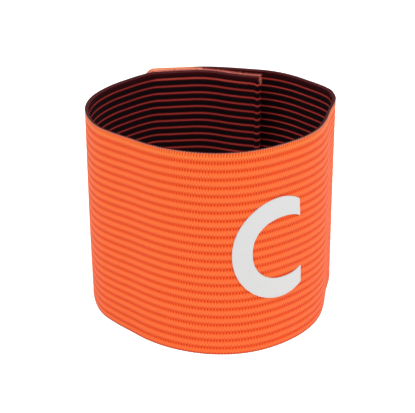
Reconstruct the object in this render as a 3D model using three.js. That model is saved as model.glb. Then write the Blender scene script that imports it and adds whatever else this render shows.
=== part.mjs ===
// Captain's armband: one strip of ribbed elastic webbing wrapped into an oval loop. Its two ends
// overlap at the back on a hook-and-loop fastening, and a flat film letter is pressed on the front.
// Millimetres, +Z up, +Y towards the back. The loop stands on its bottom rim, centred on the origin.
import * as THREE from 'three';
import { mergeVertices } from 'three/addons/utils/BufferGeometryUtils.js';

// Webbing
const ribCount = 25;
const bandHeight = 70;
const topRibHeight = 3.2;
const ribPitch = (bandHeight - topRibHeight) / (ribCount - 1);
const fabricThickness = 1.3;
const grooveDepth = 0.3;
const grooveWidth = 0.7;
const innerRows = 9;

// Loop, measured over the middle of the cloth
const loopWidth = 88;
const loopDepth = 100;
const overlapLength = 46.6;
const innerEndTurn = 61.7;
const innerEndLift = 4.66;
const outerEndLift = 1.4;

// Hook-and-loop fastening
const clearance = 0.3;
const hookThickness = 1.2;
const hookTapeLength = 22;
const loopThickness = 1.4;
const loopTapeLength = 44;
const tapeRimMargin = 0.2;
const tapeEndMargin = 0.6;

// Letter, in the plane of the unrolled strip
const letterHeight = 34;
const letterStroke = 5.9;
const letterFilm = 0.4;
const letterRoundness = 0.935;
const letterOpening = 0.51;
const letterCounterShift = 0.25;
const letterFromOuterEnd = 153.2;
const letterRaise = 0.5;

// Fineness of the faceted surface
const bandStations = 56;
const tapeStations = 14;
const tapeRows = 6;
const letterSteps = 30;
const letterLanes = 3;
const samplesPerDegree = 4;

// Plan of the loop seen from above. At each turn from +X, counter-clockwise, reach scales the ellipse
// of loopWidth by loopDepth. The front is rounder than the back, whose right corner turns tightly.
const planRows = [
  { turn: 0, reach: 0.935 },
  { turn: 15, reach: 1.053 },
  { turn: 30, reach: 1.034 },
  { turn: 45, reach: 1.052 },
  { turn: 60, reach: 1.027 },
  { turn: 75, reach: 0.964 },
  { turn: 90, reach: 1.002 },
  { turn: 105, reach: 1.013 },
  { turn: 120, reach: 0.984 },
  { turn: 135, reach: 0.978 },
  { turn: 150, reach: 0.988 },
  { turn: 165, reach: 0.986 },
  { turn: 180, reach: 1.007 },
  { turn: 195, reach: 0.986 },
  { turn: 210, reach: 0.984 },
  { turn: 225, reach: 0.915 },
  { turn: 240, reach: 0.946 },
  { turn: 255, reach: 0.976 },
  { turn: 270, reach: 1.002 },
  { turn: 285, reach: 0.996 },
  { turn: 300, reach: 0.956 },
  { turn: 315, reach: 0.947 },
  { turn: 330, reach: 0.938 },
  { turn: 345, reach: 0.91 },
];

// Creases of the plan line. At its turn a crease pushes the cloth out by depth millimetres. The push
// fades on both sides over reach, from a tip rounded over softness. The tape's edge makes the deepest.
const creaseRows = [
  { turn: 24.8, depth: 1.28, reach: 6, softness: 1 },
  { turn: 103.1, depth: -0.96, reach: 8, softness: 2 },
  { turn: 121.9, depth: 3.5, reach: 8, softness: 2.2 },
  { turn: 166.3, depth: 0.5, reach: 6, softness: 1 },
];

// How the two ends leave the plan line. Rows are equal steps along the strip, each a fifth of the
// overlap. stack is the share of half the closed stack, lift the share of that end's lift.
const innerEndRows = [
  { stack: 1, lift: 1 },
  { stack: 1, lift: 1 },
  { stack: 1, lift: 0.36 },
  { stack: 1, lift: 0 },
  { stack: 1, lift: 0 },
  { stack: 0.95, lift: 0 },
  { stack: 0.45, lift: 0 },
  { stack: 0.15, lift: 0 },
  { stack: 0, lift: 0 },
  { stack: 0, lift: 0 },
];
const outerEndRows = [
  { stack: 1, lift: 1 },
  { stack: 1, lift: 0.1 },
  { stack: 1, lift: 0 },
  { stack: 1, lift: 0 },
  { stack: 1, lift: 0 },
  { stack: 0.95, lift: 0 },
  { stack: 0.35, lift: 0 },
  { stack: 0, lift: 0 },
  { stack: 0, lift: 0 },
];
const endRowStep = 0.2;

// Soft bulges of the wall, in millimetres outwards at each turn: flare is reached at the bottom rim
// and fades to the top one, swell is reached at half height and fades to both.
const bulgeRows = [
  { turn: 0, flare: 0.5, swell: -0.6 },
  { turn: 30, flare: 0.4, swell: 0.4 },
  { turn: 60, flare: 0.1, swell: 0.4 },
  { turn: 90, flare: -0.6, swell: -1.3 },
  { turn: 120, flare: -0.3, swell: -0.1 },
  { turn: 150, flare: 0.7, swell: 1.9 },
  { turn: 180, flare: -1.5, swell: -1.0 },
  { turn: 210, flare: 0.8, swell: 2.3 },
  { turn: 240, flare: 1.9, swell: -1.4 },
  { turn: 270, flare: 2.3, swell: 1.8 },
  { turn: 300, flare: 4.9, swell: 0.3 },
  { turn: 330, flare: 2.3, swell: 2.1 },
];

const reaches = planRows.map((row) => row.reach);
const turnStep = planRows[1].turn - planRows[0].turn;
const flares = bulgeRows.map((row) => row.flare);
const swells = bulgeRows.map((row) => row.swell);
const bulgeStep = bulgeRows[1].turn - bulgeRows[0].turn;
const halfFabric = fabricThickness / 2;
const halfStack = (fabricThickness + hookThickness + loopThickness + 3 * clearance) / 2;

// Uniform cubic B-spline through a column of numbers, t counted in rows.
function smooth(values, t, closed) {
  const at = (i) => {
    const last = values.length - 1;
    if (closed) return values[(i + values.length) % values.length];
    if (i < 0) return 2 * values[0] - values[1];
    return values[Math.min(i, last)];
  };
  const row = Math.floor(t);
  const f = t - row;
  const near = (1 - f) ** 3 * at(row - 1) + (3 * f ** 3 - 6 * f ** 2 + 4) * at(row);
  const far = (-3 * f ** 3 + 3 * f ** 2 + 3 * f + 1) * at(row + 1) + f ** 3 * at(row + 2);
  return (near + far) / 6;
}

// The plan line at a turn in degrees: an ellipse scaled by the reach column.
function planPoint(turn) {
  const reach = smooth(reaches, (turn % 360) / turnStep, true);
  const angle = THREE.MathUtils.degToRad(turn);
  return new THREE.Vector2(
    (reach * Math.cos(angle) * loopWidth) / 2,
    (reach * Math.sin(angle) * loopDepth) / 2,
  );
}

// Outward direction at a point of a line that travels counter-clockwise.
function outwardAt(points, i) {
  const before = points[Math.max(i - 1, 0)];
  const after = points[Math.min(i + 1, points.length - 1)];
  const travel = after.clone().sub(before).normalize();
  return new THREE.Vector2(travel.y, -travel.x);
}

// Running length along a list of points.
function runningLength(points) {
  const length = [0];
  for (let i = 1; i < points.length; i += 1) {
    length.push(length[i - 1] + points[i].distanceTo(points[i - 1]));
  }
  return length;
}

// Distance that an end's table moves the cloth off the plan line, at a distance from that end.
function endOffset(rows, distance, lift) {
  const t = distance / (endRowStep * overlapLength);
  if (t >= rows.length - 1) return 0;
  const stackShare = smooth(rows.map((row) => row.stack), t, false);
  const liftShare = smooth(rows.map((row) => row.lift), t, false);
  return stackShare * halfStack + liftShare * lift;
}

// Outward push of all creases at a running length, round being the length of one round.
function creaseOffset(creases, along, round) {
  return creases.reduce((sum, crease) => {
    const gap = Math.abs(along - crease.along) % round;
    const distance = Math.min(gap, round - gap);
    const fade = (Math.hypot(distance, crease.softness) - crease.softness) / crease.reach;
    return sum + crease.depth * Math.exp(-fade);
  }, 0);
}

// The plan line at a list of turns, which go on by equal steps over more than one round.
function creasedPlan(turns) {
  const plain = turns.map(planPoint);
  const length = runningLength(plain);
  const round = length[360 * samplesPerDegree];
  const creases = creaseRows.map((row) => {
    const onward = (row.turn - innerEndTurn + 360) % 360;
    return { ...row, along: length[Math.round(onward * samplesPerDegree)] };
  });
  return plain.map((point, i) => {
    const push = creaseOffset(creases, length[i], round);
    return point.clone().addScaledVector(outwardAt(plain, i), push);
  });
}

// Samples of the strip's middle line with their turn: once round the plan from the inner end, on over
// the overlap to the outer end. The inner end lies inside the plan line and the outer end outside it.
// Two rounds are sampled and cut off where the overlap ends.
function stripLine() {
  const once = 360 * samplesPerDegree;
  const turns = [];
  for (let i = 0; i <= 2 * once; i += 1) {
    turns.push(innerEndTurn + i / samplesPerDegree);
  }
  const plan = creasedPlan(turns);
  const length = runningLength(plan);
  const total = length[once] + overlapLength;
  const line = plan.map((point, i) => {
    const inward = endOffset(innerEndRows, length[i], innerEndLift);
    const outward = endOffset(outerEndRows, total - length[i], outerEndLift);
    return {
      point: point.clone().addScaledVector(outwardAt(plan, i), outward - inward),
      turn: turns[i],
    };
  });
  return line.filter((sample, i) => length[i] <= total);
}

// Samples of the strip with their place, turn, outward direction and running length.
function stripFrames() {
  const line = stripLine();
  const points = line.map((sample) => sample.point);
  const length = runningLength(points);
  return line.map((sample, i) => ({
    ...sample,
    outward: outwardAt(points, i),
    along: length[i],
  }));
}

const frames = stripFrames();
const stripLength = frames[frames.length - 1].along;

// Place on the strip at a running length from its inner end.
function frameAt(along) {
  const wanted = THREE.MathUtils.clamp(along, 0, stripLength);
  let i = frames.findIndex((frame) => frame.along >= wanted);
  i = Math.max(i, 1);
  const share = (wanted - frames[i - 1].along) / (frames[i].along - frames[i - 1].along);
  return {
    along: wanted,
    turn: THREE.MathUtils.lerp(frames[i - 1].turn, frames[i].turn, share),
    point: frames[i - 1].point.clone().lerp(frames[i].point, share),
    outward: frames[i - 1].outward.clone().lerp(frames[i].outward, share).normalize(),
  };
}

// Outward bulge of the wall at a turn and height.
function bulge(turn, height) {
  const t = (turn % 360) / bulgeStep;
  const share = height / bandHeight;
  const swell = smooth(swells, t, true) * 4 * share * (1 - share);
  return smooth(flares, t, true) * (1 - share) + swell;
}

// A point of the model: offset is measured outwards from the middle of the cloth.
function place(frame, offset, height) {
  const out = offset + bulge(frame.turn, height);
  return [
    frame.point.x + frame.outward.x * out,
    frame.point.y + frame.outward.y * out,
    height,
  ];
}

// Stations between two lengths, closer together where the strip bends more, so that the straight
// lines between them all lie about equally near the strip.
function stations(from, to, count) {
  const part = frames.filter((frame) => frame.along >= from && frame.along <= to);
  const weight = [0];
  for (let i = 1; i < part.length; i += 1) {
    const run = part[i].along - part[i - 1].along;
    const bend = part[i].outward.angleTo(part[i - 1].outward);
    weight.push(weight[i - 1] + Math.sqrt(run * bend) + run / loopWidth);
  }
  const places = [];
  for (let i = 0; i < count; i += 1) {
    const wanted = (weight[weight.length - 1] * i) / (count - 1);
    const k = Math.max(weight.findIndex((value) => value >= wanted), 1);
    const share = (wanted - weight[k - 1]) / (weight[k] - weight[k - 1]);
    places.push(THREE.MathUtils.lerp(part[k - 1].along, part[k].along, share));
  }
  places[0] = from;
  places[count - 1] = to;
  return places.map(frameAt);
}

// A closed body from a ring of [offset, height] points carried along stations, with flat end caps.
function sweep(ring, places) {
  const position = [];
  places.forEach((frame) => {
    ring.forEach(([offset, height]) => position.push(...place(frame, offset, height)));
  });
  const count = ring.length;
  const index = [];
  for (let i = 0; i < places.length - 1; i += 1) {
    for (let j = 0; j < count; j += 1) {
      const a = i * count + j;
      const b = i * count + ((j + 1) % count);
      index.push(a, a + count, b, b, a + count, b + count);
    }
  }
  const flat = ring.map(([offset, height]) => new THREE.Vector2(offset, height));
  const last = (places.length - 1) * count;
  THREE.ShapeUtils.triangulateShape(flat, []).forEach(([a, b, c]) => {
    index.push(a, b, c);
    index.push(last + a, last + c, last + b);
  });
  return closedGeometry(position, index);
}

function closedGeometry(position, index) {
  const geometry = new THREE.BufferGeometry();
  geometry.setAttribute('position', new THREE.Float32BufferAttribute(position, 3));
  geometry.setIndex(index);
  const merged = mergeVertices(geometry);
  merged.computeVertexNormals();
  return merged;
}

// Cross-section of the webbing, counter-clockwise: ribs up the outer face, then down the inner one.
function ribbedRing() {
  const crown = halfFabric;
  const root = halfFabric - grooveDepth;
  const ring = [[root, 0]];
  for (let rib = 0; rib < ribCount; rib += 1) {
    const low = rib * ribPitch;
    const high = rib === ribCount - 1 ? bandHeight : low + ribPitch;
    ring.push([crown, low + grooveWidth / 2]);
    ring.push([crown, high - grooveWidth / 2]);
    ring.push([root, high]);
  }
  for (let row = innerRows; row >= 0; row -= 1) {
    ring.push([-halfFabric, (bandHeight * row) / innerRows]);
  }
  return ring;
}

function elasticBand() {
  return sweep(ribbedRing(), stations(0, stripLength, bandStations));
}

// A closed slab between two offsets, over a grid of [along, height] places.
function slab(low, high, grid) {
  const position = [];
  [low, high].forEach((offset) => {
    grid.flat().forEach(([along, height]) => position.push(...place(frameAt(along), offset, height)));
  });
  return closedGeometry(position, slabIndex(grid.length, grid[0].length));
}

// A flat tape on one face of the cloth, between two lengths along it and two offsets.
function tape(from, to, low, high) {
  const heights = [];
  for (let row = 0; row <= tapeRows; row += 1) {
    const share = row / tapeRows;
    heights.push(THREE.MathUtils.lerp(tapeRimMargin, bandHeight - tapeRimMargin, share));
  }
  const places = stations(from, to, tapeStations);
  return slab(low, high, places.map((frame) => heights.map((height) => [frame.along, height])));
}

// The soft tape, on the outer face of the inner end.
function loopTape() {
  const low = halfFabric + clearance;
  return tape(tapeEndMargin, tapeEndMargin + loopTapeLength, low, low + loopThickness);
}

// The hooked tape, on the inner face of the outer end.
function hookTape() {
  const high = -halfFabric - clearance;
  const to = stripLength - tapeEndMargin;
  return tape(to - hookTapeLength, to, high - hookThickness, high);
}

// Edge of the letter at a share of its stroke, as [across, up] from the centre of its round back.
// It is an ellipse left open on the right, where an upright line cuts it. Its middle may be shifted.
function letterEdge(halfWidth, halfHeight, shift, cut, share) {
  const start = Math.acos((cut - shift) / halfWidth);
  const angle = THREE.MathUtils.lerp(start, 2 * Math.PI - start, share);
  return [shift + halfWidth * Math.cos(angle), halfHeight * Math.sin(angle)];
}

// The letter: a stroke between an outer and an inner ellipse, wrapped round the outer face as film.
function captainLetter() {
  const backAlong = stripLength - letterFromOuterEnd;
  const level = bandHeight / 2 + letterRaise;
  const halfHeight = letterHeight / 2;
  const halfWidth = halfHeight * letterRoundness;
  const shift = letterStroke * letterCounterShift;
  const cut = halfWidth * letterOpening;
  const innerHalfWidth = halfWidth - letterStroke + shift;
  const grid = [];
  for (let i = 0; i <= letterSteps; i += 1) {
    const share = i / letterSteps;
    const outer = letterEdge(halfWidth, halfHeight, 0, cut, share);
    const inner = letterEdge(innerHalfWidth, halfHeight - letterStroke, shift, cut, share);
    const row = [];
    for (let lane = 0; lane <= letterLanes; lane += 1) {
      const across = THREE.MathUtils.lerp(outer[0], inner[0], lane / letterLanes);
      const up = THREE.MathUtils.lerp(outer[1], inner[1], lane / letterLanes);
      row.push([backAlong + across, level + up]);
    }
    grid.push(row);
  }
  const low = halfFabric + clearance;
  return slab(low, low + letterFilm, grid);
}

// Triangles of a closed slab made of an under and an upper grid of the same rows and lanes.
function slabIndex(rows, lanes) {
  const upper = rows * lanes;
  const index = [];
  const quad = (a, b, c, d) => index.push(a, b, c, a, c, d);
  for (let i = 0; i < rows - 1; i += 1) {
    for (let j = 0; j < lanes - 1; j += 1) {
      const a = i * lanes + j;
      quad(a, a + 1, a + lanes + 1, a + lanes);
      quad(upper + a, upper + a + lanes, upper + a + lanes + 1, upper + a + 1);
    }
    const first = i * lanes;
    const last = first + lanes - 1;
    quad(first, first + lanes, upper + first + lanes, upper + first);
    quad(last, upper + last, upper + last + lanes, last + lanes);
  }
  const end = (rows - 1) * lanes;
  for (let j = 0; j < lanes - 1; j += 1) {
    quad(j, upper + j, upper + j + 1, j + 1);
    quad(end + j, end + j + 1, upper + end + j + 1, upper + end + j);
  }
  return index;
}

function cloth(color, roughness) {
  return new THREE.MeshStandardMaterial({ color, roughness, metalness: 0 });
}

function piece(name, geometry, material) {
  const mesh = new THREE.Mesh(geometry, material);
  mesh.name = name;
  return mesh;
}

const armband = new THREE.Group();
armband.name = 'captain_armband';
armband.add(
  piece('elastic_band', elasticBand(), cloth('#fb6b3a', 0.9)),
  piece('loop_tape', loopTape(), cloth('#f59a6e', 0.95)),
  piece('hook_tape', hookTape(), cloth('#c9512d', 0.8)),
  piece('captain_letter', captainLetter(), cloth('#dfdfdc', 0.6)),
);

// The origin is the middle of the whole loop in plan, at the height of its bottom rim.
const middle = new THREE.Box3().setFromObject(armband).getCenter(new THREE.Vector3());
armband.children.forEach((mesh) => mesh.geometry.translate(-middle.x, -middle.y, 0));

export default armband;
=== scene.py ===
"""Captain's armband: ribbed elastic webbing wrapped into a loop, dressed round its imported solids.

Every piece is a surface worked out on the strip: a place along it, a height up it and a distance off
its middle layer become a point of the loop. The strip itself is read from the solid webbing. Metres,
+Z up, +Y towards the overlapped ends at the back, the letter on the -Y side.
"""

import math

import bpy
import numpy as np
from bpy.props import FloatProperty, FloatVectorProperty, IntProperty, PointerProperty
from bpy.types import Operator, Panel, PropertyGroup
from mathutils import Matrix, Vector


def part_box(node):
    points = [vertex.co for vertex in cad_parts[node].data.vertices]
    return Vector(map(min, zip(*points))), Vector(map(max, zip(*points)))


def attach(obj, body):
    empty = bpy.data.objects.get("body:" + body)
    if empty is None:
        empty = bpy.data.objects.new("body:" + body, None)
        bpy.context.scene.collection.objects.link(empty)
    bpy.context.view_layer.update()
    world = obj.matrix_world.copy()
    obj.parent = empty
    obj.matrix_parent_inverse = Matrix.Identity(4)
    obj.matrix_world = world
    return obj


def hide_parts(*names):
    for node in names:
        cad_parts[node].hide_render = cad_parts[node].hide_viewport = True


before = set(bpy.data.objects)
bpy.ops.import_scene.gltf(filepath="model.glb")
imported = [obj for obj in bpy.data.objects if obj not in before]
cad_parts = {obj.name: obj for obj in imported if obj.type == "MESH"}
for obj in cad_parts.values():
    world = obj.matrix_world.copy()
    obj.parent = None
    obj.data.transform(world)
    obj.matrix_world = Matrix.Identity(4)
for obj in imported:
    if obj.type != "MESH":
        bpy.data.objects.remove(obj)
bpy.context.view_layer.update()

bl_info = {
    "name": "Captain's Armband",
    "version": (1, 0, 0),
    "blender": (4, 5, 0),
    "location": "3D View > Sidebar > Armband",
    "description": "Weaves a ribbed elastic armband with its fastening, stitching and film letter",
    "category": "Add Mesh",
}

MM = 0.001
RIBS = 25
BAND_LOW, BAND_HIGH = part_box("elastic_band")
BAND_HEIGHT = BAND_HIGH.z - BAND_LOW.z
TOP_RIB = 3.2 * MM
RIB_PITCH = (BAND_HEIGHT - TOP_RIB) / (RIBS - 1)
RIB_EDGES = np.append(np.arange(RIBS) * RIB_PITCH, BAND_HEIGHT)
# In the weave's map every rib has this height, the taller top one too.
EVEN_PITCH = BAND_HEIGHT / RIBS
FABRIC = 1.3 * MM
HALF_FABRIC = FABRIC / 2
# In the solid, a rib's flat face starts this far above its groove.
CROWN_INSET = 0.35 * MM
LEVELS = np.append(RIB_EDGES[:-1] + CROWN_INSET, BAND_HEIGHT - CROWN_INSET)
LEVEL_TOLERANCE = 0.005 * MM
# On the outer face the grooves lie lower near both rims and higher midway: they drop by one length and
# rise by half a wave of the other.
WOVEN_DROP = 0.45 * MM
WOVEN_RISE = 0.70 * MM
WOVEN_EDGES = RIB_EDGES - WOVEN_DROP + WOVEN_RISE * np.sin(np.pi * RIB_EDGES / BAND_HEIGHT)
WOVEN_EDGES[[0, -1]] = 0.0, BAND_HEIGHT
STRIP_SAMPLES = 1600
# Gap between the webbing and what is fixed to it.
SEAT = 0.3 * MM
# The outer end's top corner droops: by this much at the end, over this length and this height.
CORNER_DROP = 2.0 * MM
CORNER_RUN = 2.2 * MM
CORNER_REACH = 9 * MM


def srgb(red, green, blue):
    """Linear colour of a screen colour given from 0 to 255."""
    shares = np.array([red, green, blue]) / 255
    linear = np.where(shares > 0.04045, ((shares + 0.055) / 1.055) ** 2.4, shares / 12.92)
    return tuple(linear.tolist())


def number_setting(name, description, default, **more):
    return FloatProperty(name=name, description=description, default=default, **more)


def length_setting(name, description, default):
    return number_setting(name, description, default, min=0, unit="LENGTH", precision=5)


def colour_setting(name, description, default):
    return FloatVectorProperty(
        name=name, description=description, default=default, size=3, min=0, max=1, subtype="COLOR"
    )


class WebbingSettings(PropertyGroup):
    groove_width: length_setting("Groove width", "Width of the dip between two ribs", 0.4 * MM)
    groove_depth: length_setting("Groove depth", "Depth of the dip between two ribs", 0.12 * MM)
    inner_depth: length_setting("Inner groove depth", "Depth of the dips on the inner face", 0.10 * MM)
    rim_round: length_setting("Rim rounding", "How far the rims' corners lie below their crest", 0.14 * MM)
    rim_slope: length_setting("Rim slope", "How far the top rim falls towards the inner face", 0.5 * MM)
    end_colour: colour_setting("Ends", "Cut ends and the rim over the hooked tape", srgb(226, 138, 92))
    pick: length_setting("Pick spacing", "Spacing of the upright threads along the strip", 0.92 * MM)
    stations: IntProperty(name="Stations", description="Sections along the strip", default=380, min=40)
    rib: colour_setting("Rib", "Outer face of the ribs", srgb(215, 93, 43))
    rib_light: colour_setting("Light threads", "Raised threads beside the grooves", srgb(226, 118, 61))
    # The top rib's lighter, yellower colour is painted light: the rib under the rim takes more light from
    # above.
    rib_top_painted_light: colour_setting("Top rib", "Yellower rib under the upper rim", srgb(220, 123, 53))
    groove: colour_setting("Groove", "Outer face between the ribs", srgb(214, 70, 12))
    # Groove dots: partly the weave's darker threads, partly painted shade cast by the raised threads.
    groove_dot_and_shade: colour_setting("Groove dots", "Dark points between the groove's threads", srgb(190, 50, 2))
    inside: colour_setting("Inside", "Inner face of the ribs", srgb(10, 3, 6))
    inside_glow: colour_setting("Beside the lines", "Inner face next to its red lines", srgb(74, 10, 15))
    line: colour_setting("Inner lines", "Red lines on the inner face", srgb(150, 44, 42))
    # Painted highlight: the colour of the inner lines where they catch more light.
    line_painted_highlight: colour_setting("Bright lines", "Inner lines where they catch the light", srgb(196, 66, 58))
    rim: colour_setting("Rim", "Top of the webbing's edge", srgb(50, 15, 22))
    rim_speck: colour_setting("Rim specks", "Lighter threads on the rim", srgb(110, 52, 50))


class ThreadSettings(PropertyGroup):
    bead: length_setting("Bead size", "Half width of a thread's turn at the rim", 0.16 * MM)
    bead_drop: length_setting("Bead drop", "From the rim's crest down to the turned threads", 0.36 * MM)
    stitch: length_setting("Stitch pitch", "Length of one zigzag stitch along its seam", 0.75 * MM)
    stitch_width: length_setting("Stitch width", "Width of the zigzag", 0.85 * MM)
    thickness: length_setting("Thread thickness", "Half thickness of the sewing thread", 0.16 * MM)
    bead_colour: colour_setting("Rim thread", "Thread turned over the top rim", srgb(176, 151, 135))
    # The lower rim's threads are painted dark: painted shade along the bottom rim at the floor.
    bead_painted_shade: colour_setting("Lower rim thread", "Thread turned under the bottom rim", srgb(122, 34, 30))
    seam_inner: colour_setting("Inner seam", "Thread on the inner face", srgb(206, 78, 60))
    seam_outer: colour_setting("Outer seam", "Thread on the outer face at the back", srgb(224, 78, 26))


class FasteningSettings(PropertyGroup):
    end_margin: length_setting("End margin", "From the strip's end to its tape", 0.6 * MM)
    loop_length: length_setting("Loop tape length", "Length of the soft tape", 44 * MM)
    loop_thickness: length_setting("Loop tape thickness", "Thickness of the soft tape", 1.4 * MM)
    hook_length: length_setting("Hook tape length", "Length of the hooked tape", 22 * MM)
    hook_thickness: length_setting("Hook tape thickness", "Thickness of the hooked tape", 1.2 * MM)
    pile: length_setting("Pile", "Length of the soft tape's fibres", 0.75 * MM)
    fibres: IntProperty(name="Fibres", description="Number of pile fibres", default=4200, min=0)
    loop_colour: colour_setting("Loop tape", "Soft tape", srgb(206, 96, 80))
    hook_colour: colour_setting("Hook tape", "Hooked tape", srgb(226, 138, 92))
    fray_colour: colour_setting("Frayed ends", "Loose threads at the cut ends", srgb(212, 106, 84))
    # The inner end's threads are painted dark: painted shade at that end.
    painted_shade_end_colour: colour_setting("Painted shade end", "Dulled threads low on the inner end", srgb(66, 22, 22))


class LetterSettings(PropertyGroup):
    height: length_setting("Height", "Height of the letter", 34.45 * MM)
    stroke: length_setting("Stroke", "Width of the letter's stroke at its back", 6.15 * MM)
    end_stroke: length_setting("End stroke", "Width of the stroke at its top and bottom", 6.7 * MM)
    film: length_setting("Film", "Thickness of the pressed film", 0.4 * MM)
    sink: length_setting("Sink", "How far the film sinks into a groove", 0.05 * MM)
    from_outer_end: length_setting("From the outer end", "Its middle to the strip's outer end", 153.2 * MM)
    roundness: number_setting("Roundness", "Width of the round as a share of its height", 0.94)
    opening: number_setting("Opening", "Place of the upright cut, as a share of half the width", 0.53)
    squareness: number_setting("Squareness", "Power of its outer round, 2 for an ellipse", 2.07)
    inner_squareness: number_setting("Inner squareness", "Power of its inner round", 2.28)
    counter_shift: number_setting("Counter shift", "Shift of the inner round as a share of the stroke", 0.25)
    colour: colour_setting("Film colour", "Matt grey-white film", srgb(187, 188, 188))


class StudioSettings(PropertyGroup):
    elevation: number_setting("Elevation", "Camera above the floor", math.radians(22.0), subtype="ANGLE")
    roll: number_setting("Roll", "Camera's turn about its axis", math.radians(0.143), subtype="ANGLE")
    distance: length_setting("Camera distance", "From the camera to its target", 420.64 * MM)
    target: FloatVectorProperty(
        name="Target",
        description="Point at the middle of the picture",
        default=(-0.0018, -0.0012, 0.0322),
        subtype="XYZ",
        unit="LENGTH",
    )
    lens: number_setting("Lens", "Focal length in millimetres on a 36 mm sensor", 100.52)
    sky: number_setting("Sky", "Strength of the even studio light", 0.7)
    key: number_setting("Key light", "Power of the large soft light", 16.0, unit="POWER")
    fill: number_setting("Fill light", "Power of the light from the right", 10.0, unit="POWER")
    floor: colour_setting("Floor", "Plain pale floor", srgb(250, 250, 250))
    floor_glow: number_setting("Floor glow", "Light from beneath the floor", 0.5, min=0)


class ArmbandSettings(PropertyGroup):
    webbing: PointerProperty(name="Webbing", description="The elastic strip", type=WebbingSettings)
    threads: PointerProperty(name="Threads", description="Rim threads and seams", type=ThreadSettings)
    fastening: PointerProperty(name="Fastening", description="Hook-and-loop tapes", type=FasteningSettings)
    letter: PointerProperty(name="Letter", description="Film letter", type=LetterSettings)
    studio: PointerProperty(name="Studio", description="Floor, light and camera", type=StudioSettings)


# The strip, read from the solid webbing


def welded(node):
    """Distinct corner points of a solid, and the pairs of them that its edges join."""
    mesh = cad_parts[node].data
    points = np.empty(len(mesh.vertices) * 3)
    mesh.vertices.foreach_get("co", points)
    points = points.reshape(-1, 3)
    ends = np.empty(len(mesh.edges) * 2, dtype=np.int32)
    mesh.edges.foreach_get("vertices", ends)
    _, first, place = np.unique(points.round(6), axis=0, return_index=True, return_inverse=True)
    return points[first], place.reshape(-1)[ends].reshape(-1, 2)


def in_order(pairs):
    """The points of one open chain from end to end, given the pairs that touch."""
    beside = {}
    for a, b in pairs.tolist():
        beside.setdefault(a, set()).add(b)
        beside.setdefault(b, set()).add(a)
    tips = [point for point, others in beside.items() if len(others) == 1]
    chain = [tips[0]]
    while len(chain) < len(beside):
        onward = beside[chain[-1]] - set(chain[-2:])
        chain.append(onward.pop())
    return chain


def outer_face():
    """The solid's outer face: a row of points at each level, one column for each of its stations.

    The levels are the lower edge of each rib and the upper edge of the top one. Columns run from the
    strip's inner end to its outer end.
    """
    points, pairs = welded("elastic_band")
    rows = []
    for level in LEVELS:
        on_level = np.abs(points[:, 2] - level) < LEVEL_TOLERANCE
        row = points[in_order(pairs[on_level[pairs].all(axis=1)])]
        first, last = np.hypot(row[[0, -1], 0], row[[0, -1], 1])
        rows.append(row if first < last else row[::-1])
    return np.array(rows)


def running_length(points):
    """Length along a line of points up to each of them."""
    steps = np.linalg.norm(np.diff(points, axis=0), axis=1)
    return np.concatenate([[0.0], np.cumsum(steps)])


def through(values, places, wanted):
    """Smooth curves through the columns of values: between two columns, a cubic with slopes from both."""
    slopes = np.gradient(values, places, axis=-2, edge_order=2)
    k = np.clip(np.searchsorted(places, wanted) - 1, 0, len(places) - 2)
    gap = (places[k + 1] - places[k])[:, None]
    t = (wanted - places[k])[:, None] / gap
    keep = (1 + 2 * t) * (1 - t) ** 2
    level = keep * values[..., k, :] + (1 - keep) * values[..., k + 1, :]
    lean = (1 - t) * slopes[..., k, :] - t * slopes[..., k + 1, :]
    return level + t * (1 - t) * gap * lean


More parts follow.
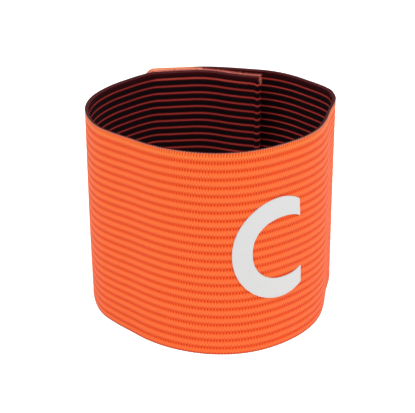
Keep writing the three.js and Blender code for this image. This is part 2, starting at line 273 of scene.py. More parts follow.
class Strip:
    """The webbing unrolled: places along it, up it and off its middle layer, as points of the loop.

    Lengths along it are measured at the top rim, where the wall has no bulge.
    """

    def __init__(self):
        solid = outer_face()
        chord = running_length(solid[-1])
        face = through(solid, chord, np.linspace(0, chord[-1], STRIP_SAMPLES))
        rim = face[-1, :, :2]
        along = running_length(rim - HALF_FABRIC * self.outward_of(rim))
        self.length = along[-1]
        self.face = through(face, along, np.linspace(0, self.length, STRIP_SAMPLES))
        self.outward = self.outward_of(self.face[-1, :, :2])

    @staticmethod
    def outward_of(line):
        """Outward directions of a line that travels counter-clockwise: its travel turned a quarter right."""
        travel = np.gradient(line, axis=0)
        travel /= np.linalg.norm(travel, axis=1)[:, None]
        return np.stack([travel[:, 1], -travel[:, 0]], axis=1)

    def directions(self, along):
        """Travel and outward directions as 3-D vectors, in equal shares between the strip's samples."""
        place = np.clip(np.asarray(along) / self.length, 0, 1) * (STRIP_SAMPLES - 1)
        samples = np.arange(STRIP_SAMPLES)
        x = np.interp(place, samples, self.outward[:, 0])
        y = np.interp(place, samples, self.outward[:, 1])
        level = np.zeros_like(x)
        return np.stack([-y, x, level], axis=-1), np.stack([x, y, level], axis=-1)

    def at(self, along, height, out):
        """Points at lengths along, heights and distances outward of the cloth's middle.

        The outer face is read in equal shares between its rows and columns, then moved along the
        outward direction. Past an end the strip goes on straight. The drooping corner lowers a point
        by a share that grows evenly towards the outer end and towards the top rim.
        """
        along, height, out = np.broadcast_arrays(along, height, out)
        place = np.clip(along / self.length, 0, 1) * (STRIP_SAMPLES - 1)
        i = np.minimum(place.astype(int), STRIP_SAMPLES - 2)
        f = (place - i)[..., None]
        j = np.clip(np.searchsorted(LEVELS, height) - 1, 0, len(LEVELS) - 2)
        g = ((height - LEVELS[j]) / (LEVELS[j + 1] - LEVELS[j]))[..., None]
        low = (1 - f) * self.face[j, i] + f * self.face[j, i + 1]
        high = (1 - f) * self.face[j + 1, i] + f * self.face[j + 1, i + 1]
        travel, outward = self.directions(along)
        past = along - np.clip(along, 0, self.length)
        points = (1 - g) * low + g * high + outward * (out - HALF_FABRIC)[..., None]
        points += travel * past[..., None]
        to_end = np.clip(1 - (self.length - along) / CORNER_RUN, 0, 1)
        to_top = np.clip(1 - (BAND_HEIGHT - height) / CORNER_REACH, 0, 1)
        points[..., 2] = height - CORNER_DROP * to_end * to_top
        return points

    def axes(self, along):
        """Travel, up and outward directions at lengths along, as rows of a matrix for each."""
        travel, outward = self.directions(along)
        up = np.broadcast_to([0.0, 0.0, 1.0], outward.shape)
        return np.stack([travel, up, outward], axis=-2)


strip = Strip()


# Meshes


def tube_faces(rows, columns):
    """Quads round a tube whose points are counted row by row, and the two flat faces that close its ends."""
    i, j = np.meshgrid(np.arange(rows - 1), np.arange(columns), indexing="ij")
    onward = (j + 1) % columns
    corners = [i * columns + j, i * columns + onward, (i + 1) * columns + onward, (i + 1) * columns + j]
    ends = np.stack([np.arange(columns)[::-1], (rows - 1) * columns + np.arange(columns)])
    return [np.stack(corners, axis=-1).reshape(-1, 4), ends]


def signed_volume(points, faces):
    """Volume that the faces hold: the sum of the pyramids from the origin to each fan of triangles."""
    total = 0.0
    for group in faces:
        corner = points[group]
        for k in range(1, group.shape[1] - 1):
            total += np.einsum("nc,nc->", corner[:, 0], np.cross(corner[:, k], corner[:, k + 1])) / 6
    return total


def in_scene(name, data):
    """A new object of the scene."""
    thing = bpy.data.objects.new(name, data)
    bpy.context.scene.collection.objects.link(thing)
    return thing


def make_piece(name, points, faces, materials, flat_places=None, picks=None, sharp=60):
    """A closed mesh object that rides on the armband, its faces turned outwards.

    flat_places are each point's length along the strip and height up it, kept as the strip UV map.
    picks are the number of each face's material. Edges that turn by more than sharp degrees stay sharp.
    """
    points = points.reshape(-1, 3)
    if signed_volume(points, faces) < 0:
        faces = [group[:, ::-1] for group in faces]
    mesh = bpy.data.meshes.new(name)
    mesh.from_pydata(points.tolist(), [], [face for group in faces for face in group.tolist()])
    if flat_places is not None:
        corner = np.empty(len(mesh.loops), dtype=np.int32)
        mesh.loops.foreach_get("vertex_index", corner)
        layer = mesh.uv_layers.new(name="strip")
        layer.data.foreach_set("uv", flat_places.reshape(-1, 2)[corner].ravel())
    mesh.shade_smooth()
    mesh.set_sharp_from_angle(angle=math.radians(sharp))
    for material in materials:
        mesh.materials.append(material)
    if picks is not None:
        mesh.polygons.foreach_set("material_index", picks)
    piece = in_scene(name, mesh)
    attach(piece, "root")
    return piece


def thread_template():
    """A short thread along its first axis: a round section that narrows to both ends."""
    sides = 6
    reach = np.array([-1.0, -0.82, 0.0, 0.82, 1.0])
    girth = np.array([0.35, 0.88, 1.0, 0.88, 0.35])
    turn = np.arange(sides) * 2 * np.pi / sides
    ring = np.stack([np.zeros(sides), np.cos(turn), np.sin(turn)], axis=1)
    points = girth[:, None, None] * ring + reach[:, None, None] * np.array([1.0, 0.0, 0.0])
    return points.reshape(-1, 3), tube_faces(len(reach), sides)


def fibre_template():
    """A fibre along its third axis that bows over towards its first: the bow grows with the square."""
    sides, rings = 3, 4
    taper, bow = 0.55, 8
    rise = np.linspace(0, 1, rings)
    turn = np.arange(sides) * 2 * np.pi / sides
    girth = (1 - taper * rise)[:, None]
    across = girth * np.cos(turn) + bow * (rise**2)[:, None]
    points = np.stack([across, girth * np.sin(turn), np.repeat(rise[:, None], sides, 1)], axis=-1)
    return points.reshape(-1, 3), tube_faces(rings, sides)


def make_copies(name, template, groups, material):
    """One piece of many copies of a small mesh, from groups of origins and of their three axes.

    A copy's points are its origin plus the template's points along its axes.
    """
    points, faces = template
    origins, axes = (np.concatenate(parts) for parts in zip(*groups))
    copies = origins[:, None, :] + np.einsum("pk,nkc->npc", points, axes)
    first = (np.arange(len(origins)) * len(points))[:, None, None]
    faces = [(first + group).reshape(-1, group.shape[1]) for group in faces]
    make_piece(name, copies, faces, [material], sharp=80)


def bell(distance, width):
    """1 at no distance, falling off as the exponential of minus its square over that of the width."""
    return np.exp(-((distance / width) ** 2))


def from_groove(height, edges):
    """Distance of a height from the nearest edge of a rib."""
    return np.abs(height[..., None] - edges).min(axis=-1)


# Materials


class Wire:
    """One output of a material's nodes. Python's operators on it add Math nodes."""

    def __init__(self, finish, socket):
        self.finish = finish
        self.socket = socket

    def math(self, operation, *inputs):
        return self.finish.add("ShaderNodeMath", {"operation": operation}, dict(enumerate(inputs)))

    def __add__(self, other):
        return self.math("ADD", self, other)

    __radd__ = __add__

    def __sub__(self, other):
        return self.math("SUBTRACT", self, other)

    def __rsub__(self, other):
        return self.math("SUBTRACT", other, self)

    def __mul__(self, other):
        return self.math("MULTIPLY", self, other)

    __rmul__ = __mul__

    def __abs__(self):
        return self.math("ABSOLUTE", self)

    def beyond(self, spacing):
        """Signed distance above the nearest whole number of spacings."""
        return self.math("WRAP", self, spacing / 2, -spacing / 2)

    def beside(self, spacing):
        """Distance from the nearest whole number of spacings."""
        return self.math("PINGPONG", self, spacing / 2)


class Finish:
    """A material and the nodes that make it."""

    def __init__(self, name):
        self.material = bpy.data.materials.new(name)
        self.material.use_nodes = True
        self.tree = self.material.node_tree
        self.tree.nodes.clear()

    def node(self, kind, settings=None, inputs=None):
        """A node of a kind: first its own settings, then values or wires for its sockets."""
        node = self.tree.nodes.new(kind)
        for name, value in (settings or {}).items():
            setattr(node, name, value)
        for key, value in (inputs or {}).items():
            if isinstance(value, Wire):
                self.tree.links.new(value.socket, node.inputs[key])
            else:
                node.inputs[key].default_value = value
        return node

    def add(self, kind, settings=None, inputs=None, output=0):
        """The wire from one output of a new node."""
        return Wire(self, self.node(kind, settings, inputs).outputs[output])

    def strip_places(self):
        """Length along the strip and height up it, in millimetres, from the piece's own map."""
        place = self.add("ShaderNodeUVMap", {"uv_map": "strip"})
        apart = self.node("ShaderNodeSeparateXYZ", inputs={0: place})
        return [Wire(self, apart.outputs[axis]) * 1000.0 for axis in "XY"]

    def object_places(self):
        return self.add("ShaderNodeTexCoord", output="Object")

    def noise(self, places, scale, detail):
        return self.add("ShaderNodeTexNoise", inputs={"Vector": places, "Scale": scale, "Detail": detail})

    def strip_noise(self, along, height, detail):
        """Noise at scaled places along and up the strip."""
        return self.noise(self.add("ShaderNodeCombineXYZ", inputs={0: along, 1: height}), 1.0, detail)

    def fade(self, value, full, gone):
        """1 up to full, 0 from gone on, and a smooth step between them."""
        inputs = {"Value": value, "From Min": full, "From Max": gone, "To Min": 1.0, "To Max": 0.0}
        return self.add("ShaderNodeMapRange", {"interpolation_type": "SMOOTHSTEP"}, inputs)

    def blend(self, share, first, second):
        """First colour, and second where the share is 1."""
        colours = [c if isinstance(c, Wire) else (*c, 1.0) for c in (first, second)]
        inputs = {0: share, 6: colours[0], 7: colours[1]}
        return self.add("ShaderNodeMix", {"data_type": "RGBA"}, inputs, output=2)

    def relief(self, height):
        """Normals of a fine relief whose height is given in millimetres."""
        inputs = {"Height": height * MM, "Distance": 1.0, "Strength": 1.0}
        return self.add("ShaderNodeBump", inputs=inputs)

    def cover(self, colour, roughness, normal=None, **constants):
        """The shader, with constants set on its own sockets."""
        inputs = {"Base Color": colour, "Roughness": roughness}
        inputs.update({name.replace("_", " "): value for name, value in constants.items()})
        if normal is not None:
            inputs["Normal"] = normal
        shader = self.add("ShaderNodeBsdfPrincipled", inputs=inputs)
        self.node("ShaderNodeOutputMaterial", inputs={"Surface": shader})
        return self.material


def dimmed(colour, share):
    """A colour with a share of its brightness left."""
    return tuple(share * c for c in colour)


def outer_finish(look):
    """Outer face: orange ribs of upright threads, with a dark dot in each groove at every pick.

    From each dot two slanted threads rise into the rib above, with a lighter thread between them. The dots
    and slanted threads are partly the weave's darker threads and partly painted shade of the raised threads.
    The top rib is painted lighter and yellower, painted light from above. All distances are in millimetres.
    """
    finish = Finish("elastic_webbing_outside")
    along, height = finish.strip_places()
    slow = finish.strip_noise(along * 0.05, height * 0.35, 3.0)
    waver = finish.strip_noise(along * 0.4, height * 0.4, 1.0)
    fibre = finish.strip_noise(along * 5.0, height * 1.1, 3.0)
    # Signed distance above the nearest groove, and distance from the nearest upright pick.
    above = height.beyond(EVEN_PITCH / MM)
    beside = (along + waver * 0.35).beside(look.pick / MM)
    below_rim = BAND_HEIGHT / MM - height

    groove = finish.fade(abs(above - 0.08), 0.2, 1.0)
    # Dots and slanted arms: partly darker threads, partly painted shade of the raised threads beside them.
    spot_up = (above - 0.1) * 1.7
    spot_beside = beside * 3.8
    dot = finish.fade(spot_up * spot_up + spot_beside * spot_beside, 0.1, 1.5)
    slant = abs(beside - (above - 0.15) * 0.4)
    arm = finish.fade(slant, 0.03, 0.17) * finish.fade(abs(above - 0.7), 0.35, 0.7)
    petal = finish.fade(beside, 0.04, 0.28) * finish.fade(abs(above - 1.0), 0.15, 0.5)
    thread = finish.fade(beside, 0.0, 0.3)

    # Painted light: the top rib, nearest the light from above, is painted lighter and yellower.
    top = finish.fade(below_rim, 1.6, 3.4)
    under_beads = finish.fade(abs(below_rim - 0.85), 0.25, 0.75) * (0.3 + thread * 0.7)

    # share, colour laid over the ones before it
    layers = [
        (top * 0.8, look.rib_top_painted_light),
        (fibre * 0.5, look.rib_light),
        (thread * 0.5 + slow * 0.12, look.groove),
        (petal * 0.8, look.rib_light),
        (arm * 0.75, look.groove_dot_and_shade),
        (groove * 0.85, look.groove),
        (dot * 0.9, look.groove_dot_and_shade),
        (under_beads * 0.85, look.groove_dot_and_shade),
        (finish.fade(below_rim, 0.12, 0.3), look.rim),
    ]
    colour = look.rib
    for share, layer in layers:
        colour = finish.blend(share, colour, layer)

    normal = finish.relief(thread * -0.05 + fibre * 0.05 + dot * -0.08 + petal * 0.05 + arm * -0.05)
    return finish.cover(colour, 0.85, normal, Sheen_Weight=0.04, Sheen_Roughness=0.4, Specular_IOR_Level=0.2)


def inner_finish(look):
    """Inner face: near black, with a red line at each groove that glows into the ribs beside it.

    Where the two layers overlap, the lines are jagged and the top one gets a painted highlight. Towards
    the outer end they all get a painted highlight, for the more light that wall gets. All distances are in
    millimetres.
    """
    finish = Finish("elastic_webbing_inside")
    along, height = finish.strip_places()
    pitch = EVEN_PITCH / MM
    slow = finish.strip_noise(along * 0.05, height * 0.35, 3.0)
    fibre = finish.strip_noise(along * 5.0, height * 1.6, 3.0)
    tooth = 0.75
    # Near its end the cloth turns back a little, and the lines dip.
    dipped = height + finish.fade(abs(along - 1.25), 0.0, 1.5) * 0.45
    above = dipped.beyond(pitch)
    beside = along.beside(tooth)
    below_rim = BAND_HEIGHT / MM - height

    overlap = finish.fade(along, 42.0, 45.0)
    teeth = (tooth / 2 - beside) * overlap * 0.8 * finish.fade(-1.0 * above, -0.1, 0.1)
    line = finish.fade(abs(above) - teeth, 0.14, 0.36)
    line = line * finish.fade(-1.0 * below_rim, -0.8, -0.5)
    glow = finish.fade(abs(above), 0.3, 0.95)
    # Painted highlight on the lines: a little at random, on the top line in the overlap and towards the
    # outer end.
    top_line_painted_light = finish.fade(abs(below_rim - pitch), 0.8, 1.0) * overlap
    painted_light_towards_end = finish.fade(strip.length / MM - along, 60.0, 130.0)
    line_colour = finish.blend(slow * 0.6 + top_line_painted_light * 0.6 + painted_light_towards_end * 0.4, look.line, look.line_painted_highlight)
    shade = finish.blend(fibre * 0.12, look.inside, look.rim)
    near_top = finish.fade(below_rim, 0.6, 2.6)
    shade = finish.blend(glow * 0.6 + near_top * 0.5, shade, look.inside_glow)
    colour = finish.blend(line * 0.95, shade, line_colour)
    return finish.cover(colour, 0.95, finish.relief(fibre * 0.05), Specular_IOR_Level=0.08)


def rim_finish(look):
    """Rims and cut ends: dark threads with a few lighter specks, paler over the hooked tape."""
    finish = Finish("elastic_webbing_rim")
    along, height = finish.strip_places()
    fibre = finish.strip_noise(along * 5.0, height * 1.6, 3.0)
    beside = along.beside(look.pick / MM)
    speck = finish.fade(beside, 0.05, 0.3) * finish.fade(1.0 - fibre, 0.4, 0.7)
    colour = finish.blend(speck, look.rim, look.rim_speck)
    over_hooks = finish.fade(strip.length / MM - along, 16.0, 23.0)
    end = finish.blend(fibre, look.end_colour, dimmed(look.end_colour, 0.6))
    colour = finish.blend(over_hooks, colour, end)
    return finish.cover(colour, 0.95, Specular_IOR_Level=0.1)


def thread_finish(name, colour):
    """Sewing thread: fine uneven bands of lighter and darker fibre."""
    finish = Finish(name)
    twist = finish.noise(finish.object_places(), 2600.0, 2.0)
    shade = finish.blend(twist, dimmed(colour, 0.62), colour)
    return finish.cover(shade, 0.6, finish.relief(twist * 0.04), Specular_IOR_Level=0.25)


def tape_finish(name, colour, grain, roughness):
    """Tape: a woven ground seen through fibres, from a coarse noise and a fine one."""
    finish = Finish(name)
    places = finish.object_places()
    coarse = finish.noise(places, grain, 3.0)
    fine = finish.noise(places, grain * 5, 2.0)
    deep = tuple(c * tint for c, tint in zip(dimmed(colour, 0.62), (1.0, 0.8, 0.7)))
    light = tuple(min(1.0, 1.12 * c + 0.03) for c in colour)
    ground = finish.blend(finish.fade(coarse, 0.4, 0.56), light, deep)
    shade = finish.blend(fine * 0.6, ground, colour)
    return finish.cover(shade, roughness, finish.relief(fine * 0.12), Sheen_Weight=0.25)


def film_finish(look):
    """Heat-pressed film: matt, almost even, with a faint print of the picks under it."""
    finish = Finish("letter_film")
    along, height = finish.strip_places()
    print_through = finish.strip_noise(along, height * 2.0, 2.0)
    mottle = finish.strip_noise(along * 0.2, height * 0.2, 2.0)
    colour = finish.blend(mottle * 0.5 + print_through * 0.2, look.colour, dimmed(look.colour, 0.93))
    return finish.cover(colour, 0.55, finish.relief(print_through * 0.05), Specular_IOR_Level=0.35)


# Pieces


def webbing_section(look):
    """Closed outline of the webbing's section: each point's distance out, height, height in the weave's
    map, and side, which is 0 outer, 1 rim or 2 inner.

    It goes up the outer face, which dips by a bell at each groove, over the top rim on a half circle
    pressed flat that falls towards the inner face, down that face with its shallower dips, and under
    the bottom rim.
    """
    low, high = look.rim_round, BAND_HEIGHT - look.rim_round
    # Where each rib has its points, as shares of its height.
    outer_steps = np.array([0.0, 0.09, 0.19, 0.5, 0.81, 0.91])
    inner_steps = np.array([0.0, 0.14, 0.5, 0.86])
    rib = np.arange(RIBS + 1)
    outer_height = np.interp(np.append(np.add.outer(rib[:-1], outer_steps), RIBS), rib, WOVEN_EDGES)
    inner_height = np.interp(np.append(np.add.outer(rib[:-1], inner_steps), RIBS), rib, RIB_EDGES)
    outer_dip = look.groove_depth * bell(from_groove(outer_height, WOVEN_EDGES), look.groove_width)
    inner_dip = look.inner_depth * bell(from_groove(inner_height, RIB_EDGES), look.groove_width)
    outer_out, inner_out = HALF_FABRIC - outer_dip, inner_dip - HALF_FABRIC
    turn = np.linspace(0, np.pi, 6)[1:-1]
    middle = (outer_out[-1] + inner_out[-1]) / 2
    reach = (outer_out[-1] - inner_out[-1]) / 2
    rim_out = middle + reach * np.cos(turn)
    rise = look.rim_round * np.sin(turn)
    fall = look.rim_slope * ((1 - np.cos(turn)) / 2) ** 1.5
    out = np.concatenate([outer_out, rim_out, inner_out[::-1], rim_out[::-1]])
    outer_height = outer_height.clip(low, high)
    inner_height = inner_height.clip(low, high - look.rim_slope)
    height = np.concatenate([outer_height, high + rise - fall, inner_height[::-1], low - rise])
    counts = [len(outer_out), len(rim_out), len(inner_out), len(rim_out)]
    side = np.repeat([0, 1, 2, 1], counts)
    outer_rib, inner_rib = np.interp(height, WOVEN_EDGES, rib), np.interp(height, RIB_EDGES, rib)
    return out, height, EVEN_PITCH * np.where(side, inner_rib, outer_rib), side


def build_webbing(look):
    """The ribbed section carried along the strip, with a flat cut face at both ends."""
    out, height, even, side = webbing_section(look)
    along = np.linspace(0, strip.length, look.stations)
    points = strip.at(along[:, None], height[None, :], out[None, :])
    places = np.stack(np.broadcast_arrays(along[:, None], even[None, :]), axis=-1)
    # Faces along a corner take the rim's material. The two cut ends come last.
    between = np.where(side == np.roll(side, -1), side, 1)
    picks = np.append(np.tile(between, look.stations - 1), [2, 1])
    finishes = [outer_finish(look), rim_finish(look), inner_finish(look)]
    faces = tube_faces(*points.shape[:2])
    piece = make_piece("webbing", points, faces, finishes, places, picks, sharp=80)
    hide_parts("elastic_band")


def build_rim_threads(look, pick):
    """A small turned thread at each pick, on the outer corner of both rims."""
    # Shares of a bead's size.
    taller, sunk, above_floor = 1.15, 0.45, 1.2
    count = int(strip.length / pick)
    along = (np.arange(count) + 0.5) * pick
    axes = strip.axes(along) * (look.bead * np.array([1.0, taller, 1.0]))[:, None]
    out = HALF_FABRIC - sunk * look.bead
    rims = {
        "top_rim_threads": (BAND_HEIGHT - look.bead_drop, look.bead_colour),
        # The bottom rim's threads take a dark colour: painted shade at the floor.
        "bottom_rim_threads": (above_floor * look.bead, look.bead_painted_shade),
    }
    for name, (height, colour) in rims.items():
        turns = [(strip.at(along, height, out), axes)]
        make_copies(name, thread_template(), turns, thread_finish(name, colour))


def seam(look, start, end, out):
    """Zigzag stitches from one place of the strip to another, as origins and axes of short threads.

    start and end are a length along and a height. Every other stitch slants the other way.
    """
    start, end = np.array(start), np.array(end)
    run = np.linalg.norm(end - start)
    count = max(2, int(run / look.stitch))
    ahead = (end - start) / run
    side = np.array([-ahead[1], ahead[0]])
    slant = np.where(np.arange(count) % 2, -1.0, 1.0)[:, None]
    middle = start + (np.arange(count)[:, None] + 0.5) * (run / count) * ahead
    reach = ahead * run / count / 2 + side * slant * look.stitch_width / 2
    across = np.stack([-reach[:, 1], reach[:, 0]], axis=1)
    across *= look.thickness / np.linalg.norm(across, axis=1)[:, None]
    local = strip.axes(middle[:, 0])
    axes = np.stack(
        [
            reach[:, :1] * local[:, 0] + reach[:, 1:] * local[:, 1],
            across[:, :1] * local[:, 0] + across[:, 1:] * local[:, 1],
            look.thickness * local[:, 2],
        ],
        axis=1,
    )
    return strip.at(middle[:, 0], middle[:, 1], out), axes


def sew(name, look, rows, out, colour):
    """Seams along several rows, joined into one piece."""
    seams = [seam(look, start, end, out) for start, end in rows]
    make_copies(name, thread_template(), seams, thread_finish(name, colour))


def build_seams(look, tapes):
    """The seams that hold both tapes, on the strip's free face.

    Two rows of zigzag run along the soft tape, and a box of it goes round the hooked one.
    """
    proud = 0.02 * MM
    # How far the rows lie above the top groove, and inside the ends and edges of the tapes.
    lift = 0.12 * MM
    past_end, before_edge = 3.6 * MM, 3.5 * MM
    inside_end, inside_edge = 1.6 * MM, 1.0 * MM
    low, high = RIB_PITCH, BAND_HEIGHT - TOP_RIB + lift
    near, far = past_end, tapes.loop_length - before_edge
    rows = [((near, high), (far, high)), ((near, low), (far, low))]
    sew("loop_seam", look, rows, -HALF_FABRIC + proud, look.seam_inner)
    end = strip.length - tapes.end_margin - inside_end
    start = strip.length - tapes.hook_length + inside_edge
    box = [
        ((start, high), (end, high)),
        ((start, low), (end, low)),
        ((start, low), (start, high)),
        ((end, low), (end, high)),
    ]
    sew("hook_seam", look, box, HALF_FABRIC + proud, look.seam_outer)


def tape_section(low, high, bottom, top):
    """Rounded oblong outline between two distances out and two heights.

    It has its corners' points, and one at every equal share of its length.
    """
    rounding, steps = 0.35 * MM, 90
    turn = np.linspace(0, np.pi / 2, 4)
    outer, inner = high - rounding, low + rounding
    upper, lower = top - rounding, bottom + rounding
    centres = [(outer, upper), (inner, upper), (inner, lower), (outer, lower)]
    corners = []
    for quarter, (out, height) in enumerate(centres):
        angle = turn + quarter * np.pi / 2
        corners.append(np.stack([out + rounding * np.cos(angle), height + rounding * np.sin(angle)], axis=1))
    outline = np.concatenate([*corners, corners[0][:1]])
    lengths = running_length(outline)
    even = np.unique(np.concatenate([lengths[:-1], np.linspace(0, lengths[-1], steps, endpoint=False)]))
    return np.interp(even, lengths, outline[:, 0]), np.interp(even, lengths, outline[:, 1])


def build_tape(name, node, stretch, layer, material):
    """A tape slab over a stretch along the strip, in a layer between two distances off its middle."""
    stations = 60
    start, end = stretch
    lowest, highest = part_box(node)
    out, height = tape_section(*layer, lowest.z, highest.z)
    along = np.linspace(start, end, stations)
    points = strip.at(along[:, None], height[None, :], out[None, :])
    piece = make_piece(name, points, tube_faces(*points.shape[:2]), [material])
    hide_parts(node)
    end - start


def fibres(draw, count, along, height, out, lean, length, thickness):
    """Origins and axes of fibres strewn over a stretch of the strip.

    along, height and out are the ranges they start in, lean the main direction as travel, up and
    outward shares, to which a random direction is added.
    """
    scatter = 0.45
    shortest, longest = 0.6, 1.1
    s = draw.uniform(*along, count)
    h = draw.uniform(*height, count)
    origins = strip.at(s, h, draw.uniform(*out, count))
    direction = np.array(lean) + draw.normal(0, scatter, (count, 3))
    direction /= np.linalg.norm(direction, axis=1)[:, None]
    spin = draw.normal(0, 1, (count, 3))
    first = np.cross(direction, spin)
    first /= np.linalg.norm(first, axis=1)[:, None]
    second = np.cross(direction, first)
    reach = length * draw.uniform(shortest, longest, count)[:, None]
    local = np.stack([thickness * first, thickness * second, reach * direction], axis=1)
    return origins, np.einsum("nkl,nlc->nkc", local, strip.axes(s))


def build_fastening(look):
    """Both tapes of the fastening, the soft tape's pile, the hooks, and the threads of the cut ends."""
    draw = np.random.default_rng(25)
    loop_low = HALF_FABRIC + SEAT
    loop_high = loop_low + look.loop_thickness
    loop_end = look.end_margin + look.loop_length
    loop_finish = tape_finish("loop_fabric", look.loop_colour, 900.0, 0.95)
    soft, soft_layer = (look.end_margin, loop_end), (loop_low, loop_high)
    build_tape("soft_tape", "loop_tape", soft, soft_layer, loop_finish)
    hook_high = -HALF_FABRIC - SEAT
    hook_low = hook_high - look.hook_thickness
    hook_end = strip.length - look.end_margin
    hooked = (hook_end - look.hook_length, hook_end)
    hook_finish = tape_finish("hook_fabric", look.hook_colour, 700.0, 0.55)
    build_tape("hook_tape_slab", "hook_tape", hooked, (hook_low, hook_high), hook_finish)

    # Ranges of height and of distance off the cloth's middle that the fibres start in.
    bottom, top = (corner.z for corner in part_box("loop_tape"))
    whole = (bottom + 1 * MM, top)
    skin, outermost = 0.1 * MM, 0.3 * MM
    thin = 0.045 * MM
    face = fibres(
        draw, look.fibres, soft, whole, (loop_high - skin, loop_high), (0, 0, 1), 0.55 * look.pile, thin
    )
    tape_edge = (top - outermost, top)
    edge = fibres(draw, look.fibres // 4, soft, tape_edge, soft_layer, (0, 1, 0.2), look.pile, thin)
    tape_tip = (loop_end - outermost, loop_end)
    tip = fibres(draw, look.fibres // 10, tape_tip, whole, soft_layer, (1, 0, 0.3), look.pile, thin)
    make_copies("tape_pile", fibre_template(), [face, edge, tip], loop_finish)

    hooks = fibres(draw, 1500, hooked, whole, (hook_low, hook_low + skin), (0, 0, -1), 0.5 * MM, 1.6 * thin)
    make_copies("tape_hooks", fibre_template(), [hooks], hook_finish)

    frayed = tape_finish("frayed_threads", look.fray_colour, 1500.0, 0.9)
    # The threads on the inner cut end are painted dark, as painted shade beside that end.
    painted_shade_finish = tape_finish("painted_shade_threads", look.painted_shade_end_colour, 1500.0, 0.95)
    # Loose threads at both cut ends, on the rim by the inner end and at that end's top corner.
    loose = 1.4 * thin
    inner_cut, outer_cut = (0.0, 0.15 * MM), (strip.length - 0.15 * MM, strip.length)
    cut, cut_layer = (0.5 * MM, BAND_HEIGHT), (-0.5 * MM, HALF_FABRIC)
    rim, rim_layer = (BAND_HEIGHT - 0.5 * MM, BAND_HEIGHT), (-0.1 * MM, HALF_FABRIC)
    corner, inner_face = (BAND_HEIGHT - 2.8 * MM, BAND_HEIGHT - 0.4 * MM), (-HALF_FABRIC, -HALF_FABRIC)
    at_rim = fibres(draw, 260, (0.0, 9 * MM), rim, rim_layer, (-0.4, 1, 0.4), 0.7 * MM, loose)
    at_end = fibres(draw, 60, inner_cut, cut, cut_layer, (-1, 0.2, 0), 0.35 * MM, loose)
    at_corner = fibres(draw, 110, (0.0, 0.4 * MM), corner, inner_face, (-0.2, 0.8, -0.4), 0.5 * MM, loose)
    outer_end = fibres(draw, 420, outer_cut, cut, cut_layer, (1, 0.2, 0), 0.4 * MM, loose)
    make_copies("frayed_ends", fibre_template(), [at_rim, at_corner, outer_end], frayed)
    make_copies("painted_shade_end", fibre_template(), [at_end], painted_shade_finish)


def letter_edge(half_width, half_height, shift, cut, power, share):
    """One edge of the letter: an ellipse of a power, walked round its back between two ends.

    Both ends lie on an upright line. A cosine and a sine raised to 2 over the power give a point's
    place across and up.
    """
    start = np.arccos(((cut - shift) / half_width) ** (power / 2))
    angle = start + (2 * np.pi - 2 * start) * share
    across = np.sign(np.cos(angle)) * np.abs(np.cos(angle)) ** (2 / power)
    up = np.sign(np.sin(angle)) * np.abs(np.sin(angle)) ** (2 / power)
    return np.stack([shift + half_width * across, half_height * up], axis=-1)


def build_letter(look):
    """The letter: a film between an outer and an inner ellipse of a power, wrapped round the ribs.

    Its section goes across the stroke on top and back underneath. The top is pressed lower over
    each groove, and rounds down at both edges.
    """
    edge_drop, edge_width = 0.12 * MM, 0.08 * MM
    dip_width = 0.5 * MM
    bite = 0.03 * MM
    lowest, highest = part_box("captain_letter")
    level = (lowest.z + highest.z) / 2
    middle = strip.length - look.from_outer_end
    half_height = look.height / 2
    half_width = half_height * look.roundness
    shift = look.stroke * look.counter_shift
    cut = half_width * look.opening
    stations = 181
    share = np.linspace(0, 1, stations)
    inner_width = half_width - look.stroke + shift
    outer = letter_edge(half_width, half_height, 0, cut, look.squareness, share)
    inner = letter_edge(inner_width, half_height - look.end_stroke, shift, cut, look.inner_squareness, share)
    # Shares of the way across the stroke, closer at its edges.
    lane = np.concatenate([[0.0, 0.008, 0.03], np.linspace(0.1, 0.9, 17), [0.97, 0.992, 1.0]])
    edge = np.minimum(lane, 1 - lane) * look.stroke
    drop = edge_drop * bell(edge, edge_width)
    lanes = np.concatenate([lane, lane[::-2]])
    flat = outer[:, None, :] + (inner - outer)[:, None, :] * lanes[None, :, None]
    along = middle + flat[..., 0]
    height = level + flat[..., 1]
    top = HALF_FABRIC + look.film - look.sink * bell(from_groove(height, WOVEN_EDGES), dip_width)
    under = HALF_FABRIC - bite
    on_top = np.arange(len(lanes)) < len(lane)
    out = np.where(on_top, top - np.append(drop, np.zeros(len(lanes) - len(lane))), under)
    points = strip.at(along, height, out)
    places = np.stack([along, height], axis=-1)
    faces = tube_faces(*points.shape[:2])
    piece = make_piece("letter", points, faces, [film_finish(look)], places)
    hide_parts("captain_letter")


# Stage


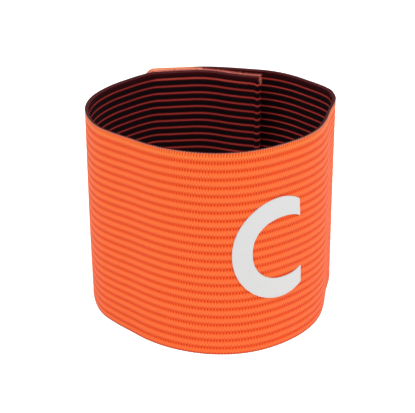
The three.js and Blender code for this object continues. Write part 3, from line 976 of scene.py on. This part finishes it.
def build_studio(look):
    """A plain pale floor, an even sky, two large soft lights and the camera."""
    half = 3.0
    mesh = bpy.data.meshes.new("floor")
    corners = [(-half, -half, 0), (half, -half, 0), (half, half, 0), (-half, half, 0)]
    mesh.from_pydata(corners, [], [(0, 1, 2, 3)])
    finish = Finish("floor")
    grain = finish.noise(finish.object_places(), 3.0, 1.0)
    colour = finish.blend(grain, look.floor, dimmed(look.floor, 0.99))
    glow = {"Emission_Color": (1.0, 1.0, 1.0, 1.0), "Emission_Strength": look.floor_glow}
    mesh.materials.append(finish.cover(colour, 0.9, Specular_IOR_Level=0.1, **glow))
    floor = in_scene("floor", mesh)

    world = bpy.data.worlds.new("studio")
    world.use_nodes = True
    sky = world.node_tree.nodes["Background"].inputs
    sky["Color"].default_value = (1.0, 1.0, 1.0, 1.0)
    sky["Strength"].default_value = look.sky
    bpy.context.scene.world = world
    # name, place, size, power
    lights = [
        ("key_light", (-0.5, -0.6, 1.6), 1.2, look.key),
        ("fill_light", (1.0, -0.3, 1.2), 1.0, look.fill),
    ]
    for name, place, size, power in lights:
        lamp = bpy.data.lights.new(name, "AREA")
        lamp.size = size
        lamp.energy = power
        aim = Vector((0, 0, BAND_HEIGHT / 2)) - Vector(place)
        turn = aim.to_track_quat("-Z", "Y").to_matrix().to_4x4()
        in_scene(name, lamp).matrix_world = Matrix.Translation(place) @ turn
    bpy.context.scene.view_settings.view_transform = "Standard"

    lens = bpy.data.cameras.new("camera")
    lens.lens = look.lens
    lens.sensor_width = 36.0
    camera = in_scene("camera", lens)
    away = Vector((0, -math.cos(look.elevation), math.sin(look.elevation)))
    turn = Matrix.Rotation(math.pi / 2 - look.elevation, 4, "X") @ Matrix.Rotation(look.roll, 4, "Z")
    camera.matrix_world = Matrix.Translation(Vector(look.target) + away * look.distance) @ turn
    bpy.context.scene.camera = camera


class ARMBAND_OT_webbing(Operator):
    """Weave the ribbed elastic strip"""

    bl_idname = "armband.webbing"
    bl_label = "Webbing"

    def execute(self, context):
        build_webbing(context.scene.armband.webbing)
        return {"FINISHED"}


class ARMBAND_OT_rim_threads(Operator):
    """Add the turned threads along both rims"""

    bl_idname = "armband.rim_threads"
    bl_label = "Rim Threads"

    def execute(self, context):
        build_rim_threads(context.scene.armband.threads, context.scene.armband.webbing.pick)
        return {"FINISHED"}


class ARMBAND_OT_fastening(Operator):
    """Add the hook-and-loop tapes with their pile, hooks and frayed ends"""

    bl_idname = "armband.fastening"
    bl_label = "Fastening"

    def execute(self, context):
        build_fastening(context.scene.armband.fastening)
        return {"FINISHED"}


class ARMBAND_OT_seams(Operator):
    """Sew both tapes to the webbing"""

    bl_idname = "armband.seams"
    bl_label = "Seams"

    def execute(self, context):
        build_seams(context.scene.armband.threads, context.scene.armband.fastening)
        return {"FINISHED"}


class ARMBAND_OT_letter(Operator):
    """Press the film letter on the front"""

    bl_idname = "armband.letter"
    bl_label = "Letter"

    def execute(self, context):
        build_letter(context.scene.armband.letter)
        return {"FINISHED"}


class ARMBAND_OT_studio(Operator):
    """Set up the floor, the lights and the camera"""

    bl_idname = "armband.studio"
    bl_label = "Studio"

    def execute(self, context):
        build_studio(context.scene.armband.studio)
        return {"FINISHED"}


OPERATORS = (
    ARMBAND_OT_webbing,
    ARMBAND_OT_rim_threads,
    ARMBAND_OT_fastening,
    ARMBAND_OT_seams,
    ARMBAND_OT_letter,
    ARMBAND_OT_studio,
)
SETTINGS = (
    WebbingSettings,
    ThreadSettings,
    FasteningSettings,
    LetterSettings,
    StudioSettings,
    ArmbandSettings,
)


class ARMBAND_PT_sidebar(Panel):
    """Lists the armband's pieces, sizes and colours"""

    bl_idname = "ARMBAND_PT_sidebar"
    bl_label = "Captain's Armband"
    bl_space_type = "VIEW_3D"
    bl_region_type = "UI"
    bl_category = "Armband"

    def draw(self, context):
        for operator in OPERATORS:
            self.layout.operator(operator.bl_idname)
        settings = context.scene.armband
        for part in settings.__annotations__:
            group = getattr(settings, part)
            box = self.layout.box()
            for name in group.__annotations__:
                box.prop(group, name)


def register():
    for kind in (*SETTINGS, *OPERATORS, ARMBAND_PT_sidebar):
        bpy.utils.register_class(kind)
    bpy.types.Scene.armband = PointerProperty(type=ArmbandSettings)


def unregister():
    del bpy.types.Scene.armband
    for kind in reversed((*SETTINGS, *OPERATORS, ARMBAND_PT_sidebar)):
        bpy.utils.unregister_class(kind)


def main():
    register()
    bpy.ops.armband.studio()
    bpy.ops.armband.webbing()
    bpy.ops.armband.rim_threads()
    bpy.ops.armband.fastening()
    bpy.ops.armband.seams()
    bpy.ops.armband.letter()


if __name__ == "__main__":
    main()
